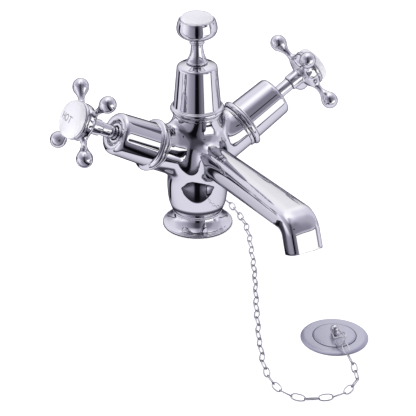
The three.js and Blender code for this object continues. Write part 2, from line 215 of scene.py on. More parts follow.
def eased(points, radius=0.35, steps=3):
    # takes the sharp corners off a turned profile
    straight = -0.96  # cosine of the angle from which a corner is left alone
    p = [np.array(q, float) for q in points]
    out = [p[0]]
    for before, here, after in zip(p, p[1:], p[2:]):
        u, v = before - here, after - here
        lu, lv = np.linalg.norm(u), np.linalg.norm(v)
        if lu < 1e-6 or lv < 1e-6 or np.dot(u, v) / (lu * lv) < straight:
            out.append(here)
            continue
        reach = min(radius, 0.45 * lu, 0.45 * lv)
        first, last = here + u / lu * reach, here + v / lv * reach
        for t in np.linspace(0, 1, steps + 1):
            out.append((1 - t) ** 2 * first + 2 * t * (1 - t) * here + t**2 * last)
    return out + [p[-1]]


def turned(profile, sides=72):
    # a profile of (radius, height), bottom to top on the outside; it ends on the axis or closes on itself
    p = np.array([(max(q[0], 0), q[1]) for q in profile], float)
    loop = p[0][0] > 1e-6
    angles = np.linspace(0, 2 * np.pi, sides, endpoint=False)
    verts, rows = [], []
    for r, z in p:
        if r < 1e-6:
            rows.append([len(verts)] * sides)
            verts.append((0, 0, z))
        else:
            rows.append(list(range(len(verts), len(verts) + sides)))
            verts += [(r * math.cos(a), r * math.sin(a), z) for a in angles]
    faces = []
    pairs = list(zip(rows, rows[1:])) + ([(rows[-1], rows[0])] if loop else [])
    for low, high in pairs:
        for i in range(sides):
            j = (i + 1) % sides
            face = [low[i], low[j], high[j], high[i]]
            face = [v for k, v in enumerate(face) if v != face[k - 1]]
            if len(face) > 2:
                faces.append(face)
    return np.array(verts), faces


def wireLoop(line, wire, sides=10):
    # a closed flat loop of round wire lying in the XY plane
    p = np.array(line, float)
    along = np.roll(p, -1, 0) - np.roll(p, 1, 0)
    along /= np.linalg.norm(along, axis=1)[:, None]
    outward = np.stack([along[:, 1], -along[:, 0]], 1)
    verts, faces, n = [], [], len(p)
    for q, o in zip(p, outward):
        for a in np.linspace(0, 2 * np.pi, sides, endpoint=False):
            c, s = math.cos(a) * wire, math.sin(a) * wire
            verts.append((q[0] + o[0] * c, q[1] + o[1] * c, s))
    for i in range(n):
        for k in range(sides):
            a, b = i * sides + k, i * sides + (k + 1) % sides
            c, d = (i + 1) % n * sides + (k + 1) % sides, (i + 1) % n * sides + k
            faces.append([a, d, c, b])
    return np.array(verts), faces


def joined(*parts):
    verts, faces, start = [], [], 0
    for v, f in parts:
        verts.append(np.asarray(v, float))
        faces += [[start + i for i in face] for face in f]
        start += len(v)
    return np.vstack(verts), faces


def moved(part, matrix):
    v, f = part
    m = np.array(matrix)
    flipped = np.linalg.det(m[:3, :3]) < 0
    return v @ m[:3, :3].T + m[:3, 3], [face[::-1] for face in f] if flipped else f


def softMin(a, b, k):
    h = np.clip(0.5 + 0.5 * (b - a) / k, 0, 1)
    return b + (a - b) * h - k * h * (1 - h)


def softMax(a, b, k):
    return -softMin(-a, -b, k)


def grown(field, low, high, step):
    # the zero surface of a distance field: quads from a grid, then each point is walked onto the surface
    axes = [np.arange(l, h + step, step) for l, h in zip(low, high)]
    values = np.empty([len(a) for a in axes], np.float32)
    y, z = np.meshgrid(axes[1], axes[2], indexing="ij")
    for i, x in enumerate(axes[0]):
        values[i] = field(np.full_like(y, x), y, z)
    grid = openvdb.FloatGrid()
    grid.background = float(step * 3)
    grid.copyFromArray(values)
    points, quads = grid.convertToQuads(isovalue=0.0)
    p = np.array([a[0] for a in axes]) + points.astype(float) * step
    e, walks = 0.02, 3
    for _ in range(walks):
        f = field(*p.T)
        slope = np.stack([
            field(p[:, 0] + e, p[:, 1], p[:, 2]) - field(p[:, 0] - e, p[:, 1], p[:, 2]),
            field(p[:, 0], p[:, 1] + e, p[:, 2]) - field(p[:, 0], p[:, 1] - e, p[:, 2]),
            field(p[:, 0], p[:, 1], p[:, 2] + e) - field(p[:, 0], p[:, 1], p[:, 2] - e),
        ], 1) / (2 * e)
        size = np.maximum((slope**2).sum(1), 0.2)
        p -= np.clip(f / size, -0.4 * step, 0.4 * step)[:, None] * slope
    return p, [list(map(int, q)) for q in quads[:, ::-1]]


def addPiece(name, part, body="root", stands=(), slot="chrome", look=None, place=None, crease=38):
    if place is not None:
        part = moved(part, place)
    verts, faces = part
    mesh = bpy.data.meshes.new(name)
    mesh.from_pydata((np.asarray(verts) * mm).tolist(), [], faces)
    mesh.polygons.foreach_set("use_smooth", [True] * len(mesh.polygons))
    mesh.set_sharp_from_angle(angle=math.radians(crease))
    mesh.materials.append(look or looks["chrome"])
    mesh.validate()
    piece = bpy.data.objects.new(name, mesh)
    bpy.context.scene.collection.objects.link(piece)
    if body:
        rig.ride(piece, body)
    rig.slot(piece, slot)
    if stands:
        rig.replaces(piece, *stands)
    return piece


def armPlace(hand):
    lean = arms["side"][hand] * (math.pi / 2 - math.radians(arms["tilt"]))
    return Matrix.Translation((0, 0, arms["junction"])) @ Matrix.Rotation(lean, 4, "Y")


cameraView = {
    "azimuth": -29.64, "elevation": 27.97, "distance": 1.22674, "lens": 137.3,
    "aim": (0.00701, -0.00399, 0.01284),
}


def addCamera():
    view = cameraView
    a, e = math.radians(view["azimuth"]), math.radians(view["elevation"])
    back = Vector((math.sin(a) * math.cos(e), -math.cos(a) * math.cos(e), math.sin(e)))
    data = bpy.data.cameras.new("camera")
    data.lens = view["lens"]
    data.clip_start, data.clip_end = 0.05, 50
    camera = bpy.data.objects.new("camera", data)
    camera.location = Vector(view["aim"]) + back * view["distance"]
    camera.rotation_mode = "QUATERNION"
    camera.rotation_quaternion = (-back).to_track_quat("-Z", "Y")
    bpy.context.scene.collection.objects.link(camera)
    bpy.context.scene.camera = camera


def newLook(name):
    look = bpy.data.materials.new(name)
    look.use_nodes = True
    nodes, links = look.node_tree.nodes, look.node_tree.links
    shader = next(n for n in nodes if n.type == "BSDF_PRINCIPLED")
    return look, nodes, links, shader


def noiseNode(nodes, links, scale, detail=3.0, stretch=(1, 1, 1)):
    place = nodes.new("ShaderNodeTexCoord")
    mapping = nodes.new("ShaderNodeMapping")
    mapping.inputs["Scale"].default_value = stretch
    noise = nodes.new("ShaderNodeTexNoise")
    noise.inputs["Scale"].default_value = scale
    noise.inputs["Detail"].default_value = detail
    links.new(place.outputs["Object"], mapping.inputs["Vector"])
    links.new(mapping.outputs["Vector"], noise.inputs["Vector"])
    return noise


def ramp(nodes, links, source, stops):
    node = nodes.new("ShaderNodeValToRGB")
    while len(node.color_ramp.elements) < len(stops):
        node.color_ramp.elements.new(0.5)
    for element, (at, colour) in zip(node.color_ramp.elements, stops):
        element.position = at
        element.color = (*colour, 1) if hasattr(colour, "__len__") else (colour, colour, colour, 1)
    links.new(source, node.inputs["Fac"])
    return node


def bumpFrom(nodes, links, shader, source, strength, distance):
    bump = nodes.new("ShaderNodeBump")
    bump.inputs["Strength"].default_value = strength
    bump.inputs["Distance"].default_value = distance
    links.new(source, bump.inputs["Height"])
    links.new(bump.outputs["Normal"], shader.inputs["Normal"])


chromeFinish = {
    # name, tint, roughness where it is cleanest and where it is wiped, depth of the ripple
    "chrome": ("chrome plate", (0.93, 0.93, 0.955), 0.008, 0.045, 0.04),
    "wire": ("chrome wire", (0.86, 0.86, 0.88), 0.08, 0.2, 0.05),
}
# scales of the haze, the wipe marks and the ripple, the duller tone, and a near-black edge tint that paints shade
# along every rim
chromeGrainAndRimShade = {"haze": 60, "wipe": 900, "wave": 28, "dull": 0.975, "edge": (0.07, 0.07, 0.1, 1)}


def polishedChrome(name, tint, roughLow, roughHigh, ripple):
    # plated and buffed: a slow ripple in the plate, faint wipe marks in the gloss
    grain = chromeGrainAndRimShade
    look, nodes, links, shader = newLook(name)
    shader.inputs["Metallic"].default_value = 1
    # painted shade: the near-black edge tint darkens every rim seen at a glancing angle
    shader.inputs["Specular Tint"].default_value = grain["edge"]  # darker at a glancing angle
    haze = noiseNode(nodes, links, grain["haze"], 4)
    wipe = noiseNode(nodes, links, grain["wipe"], 2, (1, 1, 0.08))
    both = nodes.new("ShaderNodeMath")
    both.operation = "MULTIPLY"
    links.new(haze.outputs["Fac"], both.inputs[0])
    links.new(wipe.outputs["Fac"], both.inputs[1])
    gloss = ramp(nodes, links, both.outputs[0], [(0.1, roughLow), (0.6, roughHigh)])
    links.new(gloss.outputs["Color"], shader.inputs["Roughness"])
    dull = tuple(grain["dull"] * c for c in tint)
    colour = ramp(nodes, links, haze.outputs["Fac"], [(0.3, tint), (0.75, dull)])
    links.new(colour.outputs["Color"], shader.inputs["Base Color"])
    wave = noiseNode(nodes, links, grain["wave"], 1)
    bumpFrom(nodes, links, shader, wave.outputs["Fac"], ripple, 0.0004)
    return look


satinFinish = {
    "dark": (0.5, 0.5, 0.6), "light": (0.6, 0.6, 0.69), "rough": (0.3, 0.42), "grain": 1500, "bump": 0.12,
}


def brushedChrome():
    # fine rings from the lathe, seen on the waste and the plug plate
    finish = satinFinish
    look, nodes, links, shader = newLook("satin chrome")
    shader.inputs["Metallic"].default_value = 1
    grain = noiseNode(nodes, links, finish["grain"], 3)
    colour = ramp(nodes, links, grain.outputs["Fac"], [(0.3, finish["dark"]), (0.7, finish["light"])])
    links.new(colour.outputs["Color"], shader.inputs["Base Color"])
    smooth, coarse = finish["rough"]
    gloss = ramp(nodes, links, grain.outputs["Fac"], [(0.3, smooth), (0.7, coarse)])
    links.new(gloss.outputs["Color"], shader.inputs["Roughness"])
    bumpFrom(nodes, links, shader, grain.outputs["Fac"], finish["bump"], 0.0001)
    return look


glazeFinish = {
    "dark": (0.955, 0.955, 0.965), "light": (0.985, 0.985, 0.985), "cloud": 90,
    "rough": 0.12, "coat": 0.6, "coatRough": 0.04, "dimple": 240, "bump": 0.04,
}


def glazedCeramic():
    finish = glazeFinish
    look, nodes, links, shader = newLook("white glaze")
    cloud = noiseNode(nodes, links, finish["cloud"], 3)
    colour = ramp(nodes, links, cloud.outputs["Fac"], [(0.3, finish["dark"]), (0.7, finish["light"])])
    links.new(colour.outputs["Color"], shader.inputs["Base Color"])
    shader.inputs["Roughness"].default_value = finish["rough"]
    shader.inputs["Coat Weight"].default_value = finish["coat"]
    shader.inputs["Coat Roughness"].default_value = finish["coatRough"]
    dimple = noiseNode(nodes, links, finish["dimple"], 2)
    bumpFrom(nodes, links, shader, dimple.outputs["Fac"], finish["bump"], 0.0002)
    return look


plainFinish = {
    # name, darker colour, lighter colour, metal, roughness, grain, bump
    "lettering": ("fired lettering", (0.3, 0.29, 0.33), (0.38, 0.37, 0.4), 0, 0.3, 900, 0.05),
    "rubber": ("moulded rubber", (0.018, 0.018, 0.02), (0.035, 0.034, 0.036), 0, 0.62, 1400, 0.15),
    "brass": ("machined brass", (0.62, 0.44, 0.19), (0.72, 0.54, 0.27), 1, 0.28, 500, 0.1),
    "steel": ("plated steel", (0.56, 0.57, 0.58), (0.68, 0.68, 0.7), 1, 0.3, 700, 0.12),
    "alumina": ("lapped alumina", (0.82, 0.79, 0.73), (0.88, 0.86, 0.82), 0, 0.3, 1200, 0.03),
    "fibre": ("fibre washer", (0.6, 0.17, 0.12), (0.7, 0.22, 0.15), 0, 0.7, 1600, 0.25),
}


def speckled(name, dark, light, metal, rough, scale, bump):
    look, nodes, links, shader = newLook(name)
    shader.inputs["Metallic"].default_value = metal
    grain = noiseNode(nodes, links, scale, 4)
    colour = ramp(nodes, links, grain.outputs["Fac"], [(0.3, dark), (0.7, light)])
    links.new(colour.outputs["Color"], shader.inputs["Base Color"])
    smooth, coarse = rough * 0.85, min(rough * 1.2, 1)
    gloss = ramp(nodes, links, grain.outputs["Fac"], [(0.25, smooth), (0.75, coarse)])
    links.new(gloss.outputs["Color"], shader.inputs["Roughness"])
    bumpFrom(nodes, links, shader, grain.outputs["Fac"], bump, 0.0002)
    return look


def makeLooks():
    for key, finish in chromeFinish.items():
        looks[key] = polishedChrome(*finish)
    looks["satin"] = brushedChrome()
    looks["glaze"] = glazedCeramic()
    for key, finish in plainFinish.items():
        looks[key] = speckled(*finish)


looks = {}
addCamera()
makeLooks()
print("camera and finishes ready")


chainShape = {
    "linkLength": 10.6, "linkWidth": 5.2, "wire": 0.46, "squareness": 2.3,
    "lean": 45, "sway": 9,          # each link's roll one way or the other, and how much it varies, in degrees
    "play": 0.25,                   # slack where one link hooks the next
    "lying": 3.3, "drop": 0.62,     # below this height a link lies on the deck, this much under the route
    "hangSide": (0.77, -0.64, 0),   # the way across for a link that hangs straight down
    "tailFrom": 29,                 # route point where the stretch that follows the plug starts
    "perSpan": 12,                  # steps of the line between two route points
}
chainRoute = [
    (17.7, 21.1, 24.2), (18.2, 21.8, 16), (20.5, 24, 8.5), (25, 26.5, 4), (31, 25.5, 2.7),
    (35.6, 19, 2.7), (35.5, 9, 2.7), (33.5, -4, 2.7), (29.5, -22, 2.7), (22, -41, 2.7),
    (13, -59, 2.7), (4, -77, 2.7), (-5, -94, 2.7), (-14, -110, 2.7), (-22, -124, 2.7),
    (-30, -138, 2.7), (-38, -153, 2.7), (-46, -167, 2.7), (-52, -180, 2.7), (-59, -194, 2.7),
    (-64, -208, 2.7), (-66.5, -221, 2.7), (-65.5, -232, 2.7), (-61, -240.5, 2.7),
    (-55.5, -245.5, 2.7), (-48, -248.5, 2.7), (-40, -251, 2.7), (-32, -250.8, 2.7),
    (-24, -247.5, 2.7), (-17.5, -243, 2.7), (-12.8, -236, 2.7), (-9.2, -227.5, 2.7),
    (-7, -219.5, 3.6), (-5.4, -213, 5.6), (-4.3, -208.6, 6.8),
]


def linkMesh():
    # a wire oval, a little fuller than an ellipse
    shape, power = chainShape, chainShape["squareness"]
    long, wide = shape["linkLength"] / 2 - shape["wire"], shape["linkWidth"] / 2 - shape["wire"]
    outline = []
    for a in np.linspace(0, math.tau, 20, endpoint=False):
        c, d = math.cos(a), math.sin(a)
        reach = (abs(c) ** power + abs(d) ** power) ** (-1 / power)
        outline.append((long * reach * c, wide * reach * d))
    return wireLoop(outline, shape["wire"], 8)


def makeChain():
    shape = chainShape
    line = smoothLine(chainRoute, shape["perSpan"])
    steps = np.linalg.norm(np.diff(line, axis=0), axis=1)
    run = np.concatenate([[0], np.cumsum(steps)])
    splitAt = run[shape["tailFrom"] * shape["perSpan"]]
    pitch = shape["linkLength"] - 4 * shape["wire"] + shape["play"]
    count = int(round(run[-1] / pitch))
    pitch = run[-1] / count
    link = linkMesh()
    stretches = {"chain_main": [], "chain_tail": []}
    cut = 0
    for i in range(count):
        at = (i + 0.5) * pitch
        here, ahead, behind = (
            np.array([np.interp(s, run, line[:, k]) for k in range(3)])
            for s in (at, min(at + pitch / 2, run[-1]), max(at - pitch / 2, 0))
        )
        along = Vector(ahead - behind).normalized()
        side = Vector((0, 0, 1)).cross(along)
        side = side.normalized() if side.length > 0.2 else Vector(shape["hangSide"])
        up = along.cross(side).normalized()
        lean = shape["lean"] if i % 2 else -shape["lean"]
        roll = math.radians(lean + rng.uniform(-1, 1) * shape["sway"])
        across = side * math.cos(roll) + up * math.sin(roll)
        normal = along.cross(across)
        sink = shape["drop"] if here[2] < shape["lying"] else 0
        spot = Matrix((
            (along.x, across.x, normal.x, here[0]),
            (along.y, across.y, normal.y, here[1]),
            (along.z, across.z, normal.z, here[2] - sink),
            (0, 0, 0, 1),
        ))
        stretch = "chain_main" if at < splitAt else "chain_tail"
        stretches[stretch].append(moved(link, spot))
        if stretch == "chain_main":
            cut = at + pitch / 2
    pieces = {}
    for name, links in stretches.items():
        body = "root" if name == "chain_main" else None
        pieces[name] = addPiece(name, joined(*links), body, ["chain"], "chain_chrome",
                                looks["wire"], crease=80)
    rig.blend(pieces["chain_tail"], "root", "plug",
             start=(-0.0128, -0.236, 0.0027), end=(-0.0048, -0.2106, 0.0063))

    def part(start, end):
        # the line between two lengths along it, in metres
        spots = np.concatenate([[start], run[(run > start) & (run < end)], [end]])
        return [[float(np.interp(s, run, line[:, k])) * mm for k in range(3)] for s in spots]

    width = shape["linkWidth"] * mm
    main, tail = part(0, cut), part(cut, run[-1])
    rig.cord(pieces["chain_main"], exit=main[0], length=cut * mm, diameter=width, far_end="object",
            stiffness="limp", lay="loose", path=main, with_pieces=[frame["nodes"]["chain_stay_ring"]])
    plugNames = ("plug_ring", "plug_stirrup", "plug_post", "plug_plate", "plug_rubber", "plug_nut")
    plugNodes = [frame["nodes"][name] for name in plugNames]
    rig.cord(pieces["chain_tail"], exit=tail[0], length=(run[-1] - cut) * mm, diameter=width, far_end="plug",
            stiffness="limp", lay="loose", path=tail, with_pieces=plugNodes)
    print("chain:", count, "links,", round(run[-1]), "mm")


makeChain()


middle = (0, 0, 0.06)  # of the mixer, in metres

# The studio is a pale deck in a room of white cards, a grey wall and a dark doorway; what the chrome sees of the deck
# is a painted reflection.
# Brightness from black at 0 to white at 1, by degrees to the right of the doorway behind the camera.
room = {
    "doorAt": -29.64,
    "level": [
        (-180, 0.97), (-166, 0.95), (-162, 0.70), (-156, 0.88), (-138, 0.76), (-112, 0.93), (-92, 0.88),
        (-76, 0.94), (-60, 0.86), (-48, 0.74), (-38, 0.6), (-13, 0.48), (-8.5, 0.2), (-7, 0.02), (7.5, 0.02),
        (9, 0.26), (18, 0.4), (30, 0.5), (35, 0.95), (40, 1.0), (73, 1.0), (79, 0.8), (84, 0.45), (88, 0.68),
        (97, 0.94), (108, 0.74), (122, 0.86), (145, 0.93), (168, 0.97),
    ],
    "upper": [
        (-180, 0.97), (-160, 0.93), (-140, 0.86), (-118, 0.84), (-100, 0.74), (-60, 0.62), (-36, 0.5),
        (-20, 0.39), (-6, 0.24), (6, 0.24), (20, 0.46), (62, 0.5), (80, 0.64), (105, 0.68), (122, 0.8),
        (150, 0.86), (168, 0.96),
    ],
    "overhead": [
        (-180, 1.0), (-80, 0.97), (-30, 0.82), (5, 0.6), (40, 0.7), (80, 0.8), (110, 0.94), (150, 0.98),
    ],
    "lower": [
        (-180, 0.66), (-150, 0.56), (-122, 0.36), (-112, 0.7), (-92, 0.88), (-72, 0.72), (-48, 0.48),
        (-16, 0.42), (-6, 0.1), (7, 0.1), (13, 0.42), (36, 0.5), (60, 0.58), (78, 0.54), (100, 0.74),
        (125, 0.86), (155, 0.84),
    ],
    # heights in degrees between which one band turns into the next
    "toUpper": (8, 24), "toOverhead": (52, 74), "toLower": (-52, -32),
    # a white card with a dark frame, and a dark bar across it: from, to, height, half thickness
    "card": {"sides": (34, 77), "ends": (-31, 11), "frame": 2.6, "bar": (40, 72, -13.5, 0.7)},
    # a dark bar over the grey wall: from, to, height, half thickness
    "bracket": (24, 36, 39, 1.6),
    "dark": 0.05, "barDark": 0.1,
    # a dark line at eye level behind the mixer: height, half thickness, depth, and where it fades in
    "line": (1.0, 2.2, 0.5), "lineFrom": (108, 118),
    # the pale deck as painted into the chrome's reflection: how far it reaches towards the doorway and round to each
    # side, and its painted light
    "deckFront": 0.066, "deckTurn": 82, "deckLight": 0.85,
    # painted reflection, dim just past the deck, then lighter: from, to, light, light
    "deckGap": (0.066, 0.125, 0.22, 0.62),
    # a painted dark line along the deck's end, seen in the chrome: from, to, depth
    "deckEdge": (0.0015, 0.004, 0.75),
    # a painted reflection of a dark stand to the left and behind, a dark stripe on the deck: direction, half width,
    # softness, depth, and where it starts
    "stand": (-113, 6, 3, 0.9), "standFrom": (0.045, 0.06),
    # painted contact shadow, seen only in the chrome: the deck is dim against the base: from, to, light
    "paintedContactShadow": (0.03, 0.038, 0.3),
    "tone": [
        (0.0, (0.001, 0.001, 0.002)), (0.16, (0.022, 0.021, 0.028)), (0.35, (0.106, 0.098, 0.132)),
        (0.53, (0.266, 0.253, 0.322)), (0.72, (0.52, 0.5, 0.605)), (0.88, (0.8, 0.785, 0.885)),
        (1.0, (1.12, 1.12, 1.11)),
    ],
}


class Calc:
    # short names for the math nodes of one node tree
    def __init__(self, tree):
        self.nodes, self.links = tree.nodes, tree.links

    def feed(self, socket, value):
        if hasattr(value, "is_linked"):
            self.links.new(value, socket)
        elif value is not None:
            socket.default_value = value

    def math(self, operation, a, b=None, c=None):
        node = self.nodes.new("ShaderNodeMath")
        node.operation = operation
        for socket, value in zip(node.inputs, (a, b, c)):
            self.feed(socket, value)
        return node.outputs[0]

    def vector(self, operation, a, b=None):
        node = self.nodes.new("ShaderNodeVectorMath")
        node.operation = operation
        for socket, value in zip(node.inputs, (a, b)):
            self.feed(socket, value)
        return node.outputs["Vector"]

    def rise(self, value, start, end):
        node = self.nodes.new("ShaderNodeMapRange")
        node.interpolation_type = "SMOOTHSTEP"
        for name, number in (("Value", value), ("From Min", start), ("From Max", end)):
            self.feed(node.inputs[name], number)
        return node.outputs["Result"]

    def patch(self, x, y, left, right, low, high, soft):
        # 1 inside a rectangle, 0 outside it
        sides = self.math("MULTIPLY", self.rise(x, left - soft, left), self.rise(x, right + soft, right))
        ends = self.math("MULTIPLY", self.rise(y, low - soft, low), self.rise(y, high + soft, high))
        return self.math("MULTIPLY", sides, ends)

    def inverse(self, value):
        return self.math("SUBTRACT", 1.0, value)

    def degrees(self, value):
        return self.math("MULTIPLY", value, 180 / math.pi)

    def near(self, value, at, inside, outside):
        # 1 within a distance of a value, or of 0 where there is none, fading to 0 outside it
        off = value if at is None else self.math("SUBTRACT", value, at)
        return self.inverse(self.rise(self.math("ABSOLUTE", off), inside, outside))

    def mix(self, factor, a, b):
        node = self.nodes.new("ShaderNodeMix")
        for name, value in (("Factor", factor), ("A", a), ("B", b)):
            self.feed(node.inputs[name], value)
        return node.outputs["Result"]

    def ramp(self, source, stops):
        return ramp(self.nodes, self.links, source, stops).outputs["Color"]

    def split(self, vector):
        node = self.nodes.new("ShaderNodeSeparateXYZ")
        self.links.new(vector, node.inputs[0])
        return node.outputs


def roomLight(calc, direction):
    x, y, z = calc.split(direction)
    turn = calc.degrees(calc.math("ARCTAN2", x, calc.math("MULTIPLY", y, -1.0)))
    height = calc.degrees(calc.math("ARCSINE", z))
    around = calc.math("WRAP", calc.math("SUBTRACT", turn, room["doorAt"]), 180.0, -180.0)
    share = calc.math("DIVIDE", calc.math("ADD", around, 180.0), 360.0)
    bands = {}
    for name in ("level", "upper", "overhead", "lower"):
        bands[name] = calc.ramp(share, [((a + 180) / 360, light) for a, light in room[name]])
    light = calc.mix(calc.rise(height, *room["toUpper"]), bands["level"], bands["upper"])
    light = calc.mix(calc.rise(height, *room["toOverhead"]), light, bands["overhead"])
    light = calc.mix(calc.rise(height, *room["toLower"]), bands["lower"], light)
    # the white card and its dark frame, with a bar across it
    card, wide = room["card"], room["card"]["frame"]
    (left, right), (low, high) = card["sides"], card["ends"]
    framed = calc.patch(around, height, left - wide, right + wide, low - wide, high + wide, 1.0)
    light = calc.mix(framed, light, room["dark"])
    light = calc.mix(calc.patch(around, height, left, right, low, high, 1.2), light, 1.0)
    start, end, at, half = card["bar"]
    bar = calc.patch(around, height, start, end, at - half, at + half, 0.8)
    light = calc.mix(bar, light, room["barDark"])
    start, end, at, half = room["bracket"]
    bracket = calc.patch(around, height, start, end, at - half, at + half, 1.0)
    light = calc.mix(bracket, light, room["dark"])
    at, half, depth = room["line"]
    inLine = calc.near(height, at, half, half * 2)
    behind = calc.rise(calc.math("ABSOLUTE", around), *room["lineFrom"])
    shade = calc.math("MULTIPLY", calc.math("MULTIPLY", inLine, behind), depth)
    return calc.math("MULTIPLY", light, calc.inverse(shade))


floorShape = {"hole": (0.0006, -0.1903, 0.0152), "radius": 6, "sides": 48}  # the hole is for the waste


def floorMesh():
    x, y, hole = floorShape["hole"]
    sides = floorShape["sides"]
    verts, faces = [], []
    for r in (hole, floorShape["radius"]):
        for a in np.linspace(0, math.tau, sides, endpoint=False):
            verts.append((x + r * math.cos(a), y + r * math.sin(a), 0))
    for i in range(sides):
        j = (i + 1) % sides
        faces.append([i, sides + i, sides + j, j])
    mesh = bpy.data.meshes.new("floor")
    mesh.from_pydata(verts, [], faces)
    return mesh


def deckPaintedReflection(calc, place):
    # painted reflection: what the chrome sees of the deck, which ends a little way in front of the mixer with the room
    # painted past it
    seen = calc.vector("NORMALIZE", calc.vector("SUBTRACT", place, middle))
    light = roomLight(calc, seen)
    x, y, _ = calc.split(place)
    a = math.radians(room["doorAt"])
    ahead = calc.math("ADD", calc.math("MULTIPLY", x, math.sin(a)), calc.math("MULTIPLY", y, -math.cos(a)))
    across = calc.math("ADD", calc.math("MULTIPLY", x, math.cos(a)), calc.math("MULTIPLY", y, math.sin(a)))
    turn = calc.degrees(calc.math("ARCTAN2", across, ahead))
    front = room["deckFront"]
    edgeFrom, edgeTo, edgeDepth = room["deckEdge"]
    inFront = calc.near(turn, None, room["deckTurn"], room["deckTurn"] + 4)
    past = calc.math("MULTIPLY", calc.rise(ahead, front, front + edgeFrom), inFront)
    edge = calc.math("MULTIPLY", calc.near(ahead, front, edgeFrom, edgeTo), inFront)
    # painted dim band just past the deck
    start, end, dim, lit = room["deckGap"]
    gap = calc.mix(calc.rise(ahead, start, end), dim, lit)
    light = calc.math("MULTIPLY", light, calc.math("DIVIDE", gap, lit))
    # painted contact shadow: the reflected deck darkens close to the base
    start, end, dim = room["paintedContactShadow"]
    out = calc.math("SQRT", calc.math("ADD", calc.math("MULTIPLY", x, x), calc.math("MULTIPLY", y, y)))
    deck = calc.math("MULTIPLY", calc.mix(calc.rise(out, start, end), dim, 1.0), room["deckLight"])
    # painted reflection: a dark stripe on the deck where a dark stand would show
    at, half, soft, depth = room["stand"]
    stand = calc.near(turn, at, half, half + soft)
    stand = calc.math("MULTIPLY", calc.math("MULTIPLY", stand, calc.rise(out, *room["standFrom"])), depth)
    deck = calc.math("MULTIPLY", deck, calc.inverse(stand))
    light = calc.mix(past, deck, light)
    # painted dark line along the deck's end
    light = calc.math("MULTIPLY", light, calc.inverse(calc.math("MULTIPLY", edge, edgeDepth)))
    return calc.ramp(light, room["tone"])


def makeFloor():
    mesh = floorMesh()
    floor = bpy.data.objects.new("floor", mesh)
    look, nodes, links, shader = newLook("pale deck")
    shader.inputs["Base Color"].default_value = (0.95, 0.95, 0.955, 1)
    shader.inputs["Roughness"].default_value = 0.9
    shader.inputs["Specular IOR Level"].default_value = 0.1
    shader.inputs["Emission Color"].default_value = (1, 1, 1, 1)
    shader.inputs["Emission Strength"].default_value = 0.6
    place = nodes.new("ShaderNodeNewGeometry").outputs["Position"]
    paintedReflection = nodes.new("ShaderNodeEmission")
    links.new(deckPaintedReflection(Calc(look.node_tree), place), paintedReflection.inputs["Color"])
    # glossy rays see the painted reflection, all other rays the plain pale deck
    rays = nodes.new("ShaderNodeLightPath")
    choose = nodes.new("ShaderNodeMixShader")
    output = next(n for n in nodes if n.type == "OUTPUT_MATERIAL")
    links.new(rays.outputs["Is Glossy Ray"], choose.inputs["Fac"])
    links.new(shader.outputs[0], choose.inputs[1])
    links.new(paintedReflection.outputs[0], choose.inputs[2])
    links.new(choose.outputs[0], output.inputs["Surface"])
    mesh.materials.append(look)
    bpy.context.scene.collection.objects.link(floor)
    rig.stage(floor)


def makeWorld():
    world = bpy.data.worlds.new("studio room")
    bpy.context.scene.world = world
    world.use_nodes = True
    calc = Calc(world.node_tree)
    background = next(n for n in calc.nodes if n.type == "BACKGROUND")
    light = roomLight(calc, calc.nodes.new("ShaderNodeTexCoord").outputs["Generated"])
    calc.links.new(calc.ramp(light, room["tone"]), background.inputs["Color"])
    bpy.context.scene.view_settings.view_transform = "Standard"


softboxes = {
    # place in metres, size, watts
    "key": ((-1.3, -0.9, 1.5), 1.2, 15),
    "fill": ((1.4, -0.6, 1.2), 1.4, 2),
}


def makeLights():
    # soft light for the glazed and dull pieces only; the chrome sees the room
    for name, (spot, size, watts) in softboxes.items():
        data = bpy.data.lights.new(name, "AREA")
        data.shape, data.size, data.energy = "SQUARE", size, watts
        lamp = bpy.data.objects.new(name, data)
        lamp.location = spot
        lamp.rotation_mode = "QUATERNION"
        lamp.rotation_quaternion = (Vector(middle) - Vector(spot)).to_track_quat("-Z", "Y")
        lamp.visible_glossy = False
        bpy.context.scene.collection.objects.link(lamp)


makeFloor()
makeWorld()
makeLights()
print("studio ready")


bodyShape = {
    "stem": [(12.6, 18.6), (14.5, 19.6), (18, 21), (22, 22.1), (28, 22.9), (36, 23.2), (44, 22.6), (52, 20)],
    "bulge": 23.6, "bulgeHeight": 56, "neck": 17.5, "neckTop": 93.4,
    "arm": 17.1, "armStart": 2, "armEnd": 40.6,
    "fillet": 8, "crotch": 7, "stemFillet": 4, "spoutFillet": 9,
    "inside": (60, 54),          # where the stem ends and the neck begins, inside the bulge
    "socket": (12.4, 22.9, 60),  # the valve's hole in each arm: radius, from, to
    "low": (-49, -170, 11.5), "high": (49, 26, 96), "step": 0.7,
}
spoutShape = {
    "root": (-6, 63.2), "bend": (-134.3, 68.4), "radius": 11.7, "turn": 1.25, "nose": 13.2,
    "halfWidth": (10.2, 13.3), "halfHeight": (12.8, 7.8), "squareness": (2.2, 3.4),
    "wall": 1.7, "mouthDepth": 11.4,
}


def spoutLine():
    # how steeply the spout rises, its straight length and its whole length
    s = spoutShape
    climb, out = s["bend"][1] - s["root"][1], s["root"][0] - s["bend"][0]
    straight = math.hypot(climb, out)
    return math.atan2(climb, out), straight, straight + s["radius"] * s["turn"] + s["nose"]


